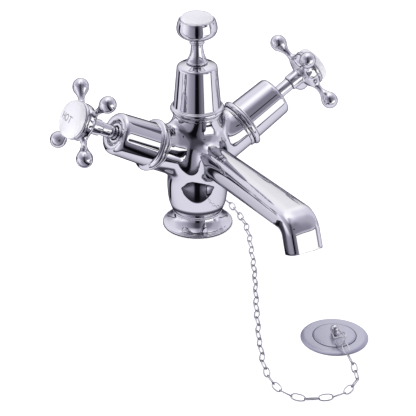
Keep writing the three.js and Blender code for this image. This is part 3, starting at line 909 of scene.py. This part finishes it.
def spoutField(x, y, z, inset=0.0, start=-1e3, end=None):
    # distance to the spout: along its line, then across a rounded section
    s = spoutShape
    rise, straight, total = spoutLine()
    final = rise - s["turn"]
    up = lambda a: (math.sin(a), math.cos(a))
    on = lambda a: (-math.cos(a), math.sin(a))
    dy, dz = y - s["root"][0], z - s["root"][1]
    along = dy * on(rise)[0] + dz * on(rise)[1]
    over = dy * up(rise)[0] + dz * up(rise)[1]
    cy = s["bend"][0] - s["radius"] * up(rise)[0]
    cz = s["bend"][1] - s["radius"] * up(rise)[1]
    swung = rise - np.arctan2(y - cy, z - cz)
    reach = np.hypot(y - cy, z - cz)
    py, pz = cy + s["radius"] * up(final)[0], cz + s["radius"] * up(final)[1]
    noseAlong = (y - py) * on(final)[0] + (z - pz) * on(final)[1]
    noseOver = (y - py) * up(final)[0] + (z - pz) * up(final)[1]
    inBend = (along > straight) & (swung < s["turn"])
    inNose = (along > straight) & (swung >= s["turn"])
    over = np.where(inBend, reach - s["radius"], np.where(inNose, noseOver, over))
    along = np.where(inBend, straight + s["radius"] * swung, along)
    along = np.where(inNose, straight + s["radius"] * s["turn"] + noseAlong, along)
    share = np.clip(along / straight, 0, 1)
    width = s["halfWidth"][0] + (s["halfWidth"][1] - s["halfWidth"][0]) * share - inset
    height = s["halfHeight"][0] + (s["halfHeight"][1] - s["halfHeight"][0]) * share - inset
    power = s["squareness"][0] + (s["squareness"][1] - s["squareness"][0]) * share
    qx, qv = np.abs(x) / width, np.abs(over) / height
    d = ((qx**power + qv**power + 1e-9) ** (1 / power) - 1) * np.minimum(width, height)
    d = softMax(d, along - (total if end is None else total + end), 0.7)
    return softMax(d, start - along, 0.7) if start > -1e3 else softMax(d, -along, 2)


def armField(x, y, z, hand, radius, start, end, edge=0.6):
    tilt = math.radians(arms["tilt"])
    nx, nz = arms["side"][hand] * math.cos(tilt), math.sin(tilt)
    along = x * nx + (z - arms["junction"]) * nz
    off = np.sqrt(np.maximum(x**2 + y**2 + (z - arms["junction"])**2 - along**2, 0))
    return softMax(softMax(off - radius, along - end, edge), start - along, edge)


stemTable = smoothLine(bodyShape["stem"], 12)


def bodyField(x, y, z):
    b = bodyShape
    stemTop, neckFoot = b["inside"]
    ring = np.hypot(x, y)
    stem = (ring - np.interp(z, stemTable[:, 0], stemTable[:, 1])) * 0.98
    stem = softMax(softMax(stem, b["stem"][0][0] - z, 0.4), z - stemTop, 6)
    d = softMin(stem, np.sqrt(ring**2 + (z - b["bulgeHeight"])**2) - b["bulge"], b["stemFillet"])
    for hand in ("hot", "cold"):
        d = softMin(d, armField(x, y, z, hand, b["arm"], b["armStart"], b["armEnd"]), b["fillet"])
    neck = softMax(softMax(ring - b["neck"], z - b["neckTop"], 0.5), neckFoot - z, 2)
    # the fillet widens up into the crotch between the arms and the neck
    d = softMin(d, neck, b["fillet"] + b["crotch"] * np.clip((z - stemTop) / 14, 0, 1))
    d = softMin(d, spoutField(x, y, z), b["spoutFillet"])
    # hollowed at the mouth and at the two valve sockets
    mouthFrom = spoutLine()[2] - spoutShape["mouthDepth"]
    d = softMax(d, -spoutField(x, y, z, spoutShape["wall"], mouthFrom, 5), 0.5)
    for hand in ("hot", "cold"):
        d = softMax(d, -armField(x, y, z, hand, *b["socket"]), 0.5)
    return d


def baseProfile():
    foot = [(0, 0.02), (21.0, 0.02), (24.4, 0.02)]
    rim = arc(25.5, 1.55, 1.55, -85, 88, 12)
    cove = smoothLine([(25.3, 3.3), (23.4, 4.3), (20.6, 6.7), (18.9, 9.4), (18.2, 11.4)], 6).tolist()
    bead = [(18.2, 11.6), (18.9, 12.0), (19.3, 12.6), (19.2, 13.3), (18.6, 13.8)]
    return foot + rim + cove + bead + [(0, 14)]


def lipProfile(radius, bottom, top):
    # the raised lip that a bonnet sits on
    lip = [(radius - 0.4, bottom), (radius + 1.0, bottom + 0.9),
           (radius + 1.1, top - 0.9), (radius + 0.4, top)]
    return [(12.6, bottom)] + eased(lip + [(12.4, top)], 0.35) + [(12.4, bottom)]


def makeBody():
    b = bodyShape
    parts = [grown(bodyField, b["low"], b["high"], b["step"]), turned(baseProfile(), 128)]
    lip = turned(lipProfile(b["arm"], 39.6, 42.8), 96)
    for hand in ("hot", "cold"):
        parts.append(moved(lip, armPlace(hand)))
    parts.append(turned(lipProfile(b["neck"], 92.2, 95.6), 96))
    body = addPiece("mixer_body", joined(*parts), stands=["body_casting"], crease=50)
    print("body:", len(body.data.vertices), "points")


makeBody()


columnShape = {
    "bottom": 95.9, "bead": 20.4, "beadWire": 2.1, "foot": 17.8, "top": 15.2, "shoulder": 130.6,
    "waist": [(7.5, 136.4), (6.3, 138.8), (5.1, 142.5), (4.6, 147), (4.75, 149.2)],
    "bowl": [
        (5.2, 153.75), (8.0, 154.2), (11.4, 155.4), (14.0, 157.7), (15.1, 160.8), (14.85, 163.8),
        (14.2, 166.4), (13.6, 168.2),
    ],
    "button": [(12.2, 167.9), (12.0, 169.3), (10.9, 170.9), (8.6, 172.1), (4.6, 173.05), (0, 173.3)],
}


def makeColumn():
    c = columnShape
    bead = arc(c["bead"] - c["beadWire"], c["bottom"] + c["beadWire"], c["beadWire"], -90, 84, 14)
    shell = [(c["foot"] + 0.15, c["bottom"] + 4.6), (c["foot"], c["bottom"] + 5.4)]
    edge = [(c["top"], c["shoulder"]), (c["top"] - 0.5, 131.7), (13.6, 132.5), (11.2, 133.3), (8.6, 134.1)]
    inside = [(3.4, 134.3), (3.4, 131.4), (12.8, 130), (14.6, 104), (14.6, 98.6), (12.4, 98.4)]
    profile = [(12.4, c["bottom"])] + bead + shell + smoothLine(edge, 5).tolist() + inside
    addPiece("top_bonnet_shell", turned(eased(profile, 0.3), 128), stands=["top_bonnet"])
    foot = [(3.2, 134.55), (7.5, 134.55)] + arc(7.45, 135.35, 0.75, -80, 80, 6)
    waist = smoothLine(c["waist"], 6).tolist()
    collar = arc(4.95, 150.2, 0.75, -70, 80, 6) + [(4.7, 151.6), (5.1, 153.1), (5.2, 153.5)]
    bore = [(1.9, 153.5), (1.9, 145), (0, 145)]
    pillar = [(0, 141), (3.2, 141)] + eased(foot + waist + collar + bore, 0.2)
    addPiece("top_pillar_turning", turned(pillar, 72), stands=["top_pillar"])
    bowl = smoothLine(c["bowl"], 7).tolist()
    rim = arc(13.1, 168.15, 0.42, 15, 165, 6)
    well = [(12.55, 167.4), (12.55, 162.6), (4.6, 162.6), (4.6, 159.8), (1.9, 159.8)]
    addPiece("top_knob_bowl", turned([(1.9, 153.75)] + bowl + rim + well, 96), stands=["top_knob_cup"])
    button = eased([(0, 163), (12.1, 163)] + smoothLine(c["button"], 6).tolist(), 0.25)
    addPiece("top_button", turned(button, 96), stands=["top_index"], slot="glaze", look=looks["glaze"])
    print("centre column ready")


makeColumn()


handleShape = {
    "cross": 108.3, "ballAt": 30.2, "ball": 6.15, "reach": 37.5,
    "arm": [
        (6, 4.2), (10, 3.6), (13.2, 2.85), (17, 2.3), (20, 2.45), (22.6, 3.2), (25.2, 4.5), (27.5, 5.4),
        (31, 5.6),
    ],
    "hub": [
        (100, 6.0), (103.0, 6.1), (103.6, 7.3), (104.2, 9.4), (104.8, 11.4), (105.9, 12.8), (107.4, 13.5),
        (109.4, 13.85), (113, 14.0),
    ],
    "hubEnds": (100.4, 112), "well": (10.6, 110),  # the well holds the bezel: radius, floor
    "bezel": [(14.0, 112.35), (14.3, 112.8), (14.45, 113.6), (14.2, 114.4), (13.5, 114.75), (12.9, 114.6)],
    "dome": [
        (13.7, 115.35), (14.05, 116.2), (14.0, 118.0), (13.2, 119.9), (11.6, 120.9), (8.6, 121.7),
        (4.4, 122.2), (0, 122.35),
    ],
}
handleArmTable = smoothLine(handleShape["arm"], 10)
handleHubTable = smoothLine(handleShape["hub"], 10)
handleDome = smoothLine(handleShape["dome"], 6).tolist()


def handleField(turn):
    h = handleShape
    c, s = math.cos(turn), math.sin(turn)
    foot, top = h["hubEnds"]
    wellRadius, wellFloor = h["well"]

    def field(x, y, z):
        u, v, w = x * c + y * s, y * c - x * s, z - h["cross"]
        ring = np.hypot(x, y)
        hub = (ring - np.interp(z, handleHubTable[:, 0], handleHubTable[:, 1])) * 0.75
        d = softMax(softMax(hub, z - top, 0.4), foot - z, 0.4)
        for t, q in ((np.abs(u), v), (np.abs(v), u)):
            off = np.hypot(q, w)
            stalk = (off - np.interp(t, handleArmTable[:, 0], handleArmTable[:, 1])) * 0.9
            stalk = softMax(softMax(stalk, t - 29, 1), 5 - t, 1)
            ball = np.sqrt((t - h["ballAt"])**2 + off**2) - h["ball"]
            d = softMin(d, softMin(stalk, ball, 1.2), 2.6)
        return softMax(d, -softMax(ring - wellRadius, wellFloor - z, 0.3), 0.3)

    return field


def letterArc(start, end):
    # part of a round letter, between two angles in degrees
    angles = np.radians(np.arange(start, end, 20))
    return [(0.41 + 0.41 * math.cos(a), 0.5 + 0.5 * math.sin(a)) for a in angles]


letterShape = {
    "height": 4.6, "longWord": 0.8, "gap": 1.2, "stroke": 0.75, "overrun": 0.4,
    "proud": 0.03, "sunk": -0.15, "stations": 7,
    "words": {"hot": "HOT", "cold": "COLD"},
    "strokes": {  # each letter's width and its lines, for a height of 1
        "H": (0.72, [[(0, 0), (0, 1)], [(0.72, 0), (0.72, 1)], [(0, 0.5), (0.72, 0.5)]]),
        "T": (0.72, [[(0, 1), (0.72, 1)], [(0.36, 0), (0.36, 0.97)]]),
        "O": (0.82, [letterArc(90, 451)]),
        "C": (0.76, [letterArc(48, 313)]),
        "L": (0.56, [[(0, 1), (0, 0), (0.56, 0)]]),
        "D": (0.74, [[(0.3, 0), (0, 0), (0, 1), (0.3, 1), (0.6, 0.86), (0.74, 0.5), (0.6, 0.14), (0.3, 0)]]),
    },
}


def strokeStrip(a, b, way):
    # a thin strip from a to b that follows the dome
    shape = letterShape
    radii, heights = zip(*handleDome[::-1])
    along = (b - a) / np.linalg.norm(b - a)
    aside = np.array([-along[1], along[0]]) * shape["stroke"] / 2
    over = along * shape["stroke"] * shape["overrun"]
    verts = []
    for q in np.linspace(a - over, b + over, shape["stations"]):
        for edge in (q - aside, q + aside):
            z = float(np.interp(np.hypot(*edge), radii, heights))
            verts += [(way * edge[1], -way * edge[0], z + lift) for lift in (shape["proud"], shape["sunk"])]
    last = 4 * (shape["stations"] - 1)
    faces = [[0, 1, 3, 2], [last, last + 2, last + 3, last + 1]]
    for k in range(0, last, 4):
        faces += [[k, k + 2, k + 6, k + 4], [k + 1, k + 5, k + 7, k + 3]]
        faces += [[k, k + 4, k + 5, k + 1], [k + 2, k + 3, k + 7, k + 6]]
    return np.array(verts), faces


def makeLetters(hand):
    # plain lettering fired onto the glaze
    shape, word = letterShape, letterShape["words"][hand]
    size = shape["height"] * (shape["longWord"] if len(word) > 3 else 1)
    width = sum(shape["strokes"][letter][0] for letter in word) * size + shape["gap"] * (len(word) - 1)
    strips, pen = [], -width / 2
    for letter in word:
        wide, strokes = shape["strokes"][letter]
        for stroke in strokes:
            spots = [np.array([pen + x * size, (y - 0.5) * size]) for x, y in stroke]
            strips += [strokeStrip(a, b, -arms["side"][hand]) for a, b in zip(spots, spots[1:])]
        pen += wide * size + shape["gap"]
    addPiece(hand + "_lettering", joined(*strips), hand + "_handle",
             slot="glaze", look=looks["lettering"], place=armPlace(hand))


def makeHandle(hand):
    h, body = handleShape, hand + "_handle"
    place = armPlace(hand)
    turn = math.radians(arms["turn"][hand])
    reach = h["reach"]
    cross = grown(handleField(turn), (-reach, -reach, 99.5), (reach, reach, 116), 0.5)
    boss = turned(eased([(4.3, 93.3), (5.6, 93.3), (6.0, 93.8), (6.0, 103), (4.3, 103)], 0.25), 64)
    addPiece(hand + "_cross", joined(cross, boss), body, [hand + "_cross_handle"], place=place, crease=50)
    spigot = [(8, 110.5), (10.2, 110.5), (10.2, 112.25), (13.4, 112.25)]
    rim = smoothLine(h["bezel"], 5).tolist()
    bezel = eased(spigot, 0.2)[:-1] + rim + [(12.75, 114.1), (8, 114.1)]
    addPiece(hand + "_bezel", turned(bezel, 96), body, [hand + "_index_bezel"], place=place)
    dome = eased([(0, 114.4), (12.3, 114.4), (12.4, 115.2)] + handleDome, 0.25)
    addPiece(hand + "_dome", turned(dome, 96), body, [hand + "_index"],
             slot="glaze", look=looks["glaze"], place=place)
    makeLetters(hand)


valveShape = {
    "bottom": 43.1, "bead": 17.75, "beadWire": 2.15, "stalk": 4.95,
    "recess": [
        (10.6, 80.25), (9.9, 80.0), (9.6, 79.4), (9.5, 76.9), (7.6, 76.8), (7.6, 79.0), (7.2, 79.4),
        (5.7, 79.4), (5.6, 79.1),
    ],
    "inside": [(5.6, 75.6), (12, 75.4), (13.5, 73.6), (14.3, 50)],
}


def makeValve(hand):
    v = valveShape
    place = armPlace(hand)
    bottom = v["bottom"]
    bead = arc(v["bead"], bottom + v["beadWire"], v["beadWire"], -90, 86, 14)
    shell = [(16.95, bottom + 4.7), (16.6, bottom + 5.6), (15.75, 75.9)] + arc(12.2, 76.75, 3.5, 10, 84, 12)
    bonnet = eased([(14.3, bottom)] + bead + shell + v["recess"] + v["inside"], 0.22)
    addPiece(hand + "_bonnet_shell", turned(bonnet, 128), stands=[hand + "_bonnet"], place=place)
    r = v["stalk"]
    groove = [(r, 51), (3.9, 51), (3.9, 53.4), (r, 53.4)]
    clip = [(r, 73.6), (4.2, 73.6), (4.2, 75), (r, 75)]
    spline = [(r, 92.7), (3.9, 93.1), (3.9, 104.2), (2.2, 104.2), (2.2, 96), (0, 96)]
    stalk = eased([(0, 31.5), (7.5, 31.5), (7.5, 35.8), (r, 36.4)] + groove + clip + spline, 0.15)
    addPiece(hand + "_stalk", turned(stalk, 64), hand + "_handle", [hand + "_spindle"], place=place)
    makeHandle(hand)
    print(hand, "valve ready")


for hand in ("hot", "cold"):
    makeValve(hand)


wasteShape = {"at": (0.6, -190.3), "radius": 23.3, "plug": 14.7}
wastePlace = Matrix.Translation((*wasteShape["at"], 0))


def makeWaste():
    w = wasteShape
    r, p = w["radius"], w["plug"]
    flange = [(16.4, 1), (r - 0.9, 1.0), (r - 0.4, 0.35), (r - 0.1, 0.3), (r, 0.42)]
    dish = smoothLine([(r - 0.5, 0.95), (r - 1.6, 1.6), (20.6, 1.94), (18.5, 2.0), (16.4, 1.97), (15.3, 1.9),
                       (15.02, 1.6), (14.95, 0.2), (14.6, -5)], 6).tolist()
    tube = [(14.2, -8), (14.2, -55), (16.2, -55), (16.2, -2)]
    addPiece("waste_flange", turned(eased(flange + dish + tube, 0.2), 128), stands=["waste_body"],
             slot="satin", look=looks["satin"], place=wastePlace)
    plate = [(2.1, 1.9), (p - 0.15, 1.9), (p - 0.05, 2.0), (p - 0.3, 2.15)]
    top = smoothLine([(p - 1.1, 2.62), (11, 2.86), (7, 3.05), (3.2, 3.16)], 6).tolist()
    addPiece("plug_disc", turned(plate + top + [(2.1, 3.18)], 128), "plug", ["plug_plate"],
             slot="satin", look=looks["satin"], place=wastePlace)
    post = [(0, -6.6), (1.6, -6.6), (1.6, 3.3), (2.6, 3.4), (2.6, 4.1), (1.6, 4.3), (1.6, 7.1), (2.5, 7.3)]
    head = arc(0, 7.3, 2.75, 8, 90, 10)
    addPiece("plug_stud", turned(eased(post, 0.15) + head, 48), "plug", ["plug_post"], place=wastePlace)


stirrupShape = {
    "towards": (-0.259, -0.966),  # the side of the plug that the chain comes from
    "corners": [
        (-2.6, -1.4), (-2.6, 1.4), (0, 2.5), (9.2, 3.7), (10.0, 3.0), (10.0, -3.0), (9.2, -3.7), (0, -2.5),
    ],
    "wire": 0.5, "height": 6.4,
    "ring": 4.8, "ringWire": 0.52, "ringAt": (12.9, 0, 7), "ringTilt": 50,
}


def ringLine(radius, sides):
    # a round loop's line, clockwise
    angles = np.linspace(0, 2 * np.pi, sides, endpoint=False)[::-1]
    return [(radius * math.cos(a), radius * math.sin(a)) for a in angles]


def makeStirrup():
    s = stirrupShape
    x, y = s["towards"]
    place = wastePlace @ Matrix.Rotation(math.atan2(y, x), 4, "Z")
    wire = wireLoop(smoothLine(s["corners"][::-1], 5, True), s["wire"], 10)
    addPiece("stirrup_wire", wire, "plug", ["plug_stirrup"],
             place=place @ Matrix.Translation((0, 0, s["height"])), crease=80)
    tilt = Matrix.Translation(s["ringAt"]) @ Matrix.Rotation(math.radians(s["ringTilt"]), 4, "X")
    addPiece("split_ring", wireLoop(ringLine(s["ring"], 48), s["ringWire"], 12), "plug", ["plug_ring"],
             place=place @ tilt, crease=80)


makeWaste()
makeStirrup()
print("waste and plug ready")


stayShape = {
    "turn": 40, "out": 27.6,  # direction from straight behind, in degrees, and distance from the axis
    "height": 34, "eye": 3.4, "eyeWire": 0.95,
    "stem": [
        (0, 17.6), (1.5, 17.6), (1.5, 22.4), (2.9, 22.6), (2.9, 23.5), (1.5, 23.8), (1.4, 24.6), (0, 24.6),
    ],
    "ringHeight": 28.8, "ring": 3.6, "ringWire": 0.55,
}


def makeStay():
    s = stayShape
    turn = math.radians(s["turn"])
    x, y = s["out"] * math.sin(turn), s["out"] * math.cos(turn)
    upright = Matrix.Rotation(math.pi / 2, 4, "X")
    facing = Matrix.Translation((x, y, s["height"])) @ Matrix.Rotation(math.pi / 2 - turn, 4, "Z") @ upright
    eye = moved(wireLoop(ringLine(s["eye"], 40), s["eyeWire"], 12), facing)
    axis = Matrix.Translation((0, 0, s["height"])) @ Matrix.Rotation(-turn, 4, "Z")
    stem = moved(turned(eased(s["stem"], 0.2), 32), axis @ Matrix.Rotation(-math.pi / 2, 4, "X"))
    addPiece("stay_eye", joined(eye, stem), stands=["chain_stay"], crease=60)
    hang = Matrix.Translation((x, y, s["ringHeight"])) @ Matrix.Rotation(-turn, 4, "Z") @ upright
    addPiece("stay_ring", wireLoop(ringLine(s["ring"], 40), s["ringWire"], 12),
             stands=["chain_stay_ring"], place=hang, crease=80)


makeStay()


# which look each of the record's material slots takes
finishOf = {
    "rubber": "rubber", "brass": "brass", "steel": "steel", "alumina": "alumina", "white_plastic": "fibre",
    "chrome": "chrome", "satin": "satin", "glaze": "glaze", "chain_chrome": "wire",
}


def dressFrame():
    for row in frame["record"]["subparts"]:
        node = frame["nodes"][row["node"]]
        for slot in node.material_slots:
            slot.material = looks[finishOf[row["material_slot"]]]


dressFrame()
print("frame pieces dressed")

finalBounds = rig.bounds()
with open("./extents.json", "w") as sizes:
    json.dump({"frame": [list(v) for v in loadedBounds], "visual": [list(v) for v in finalBounds]}, sizes)
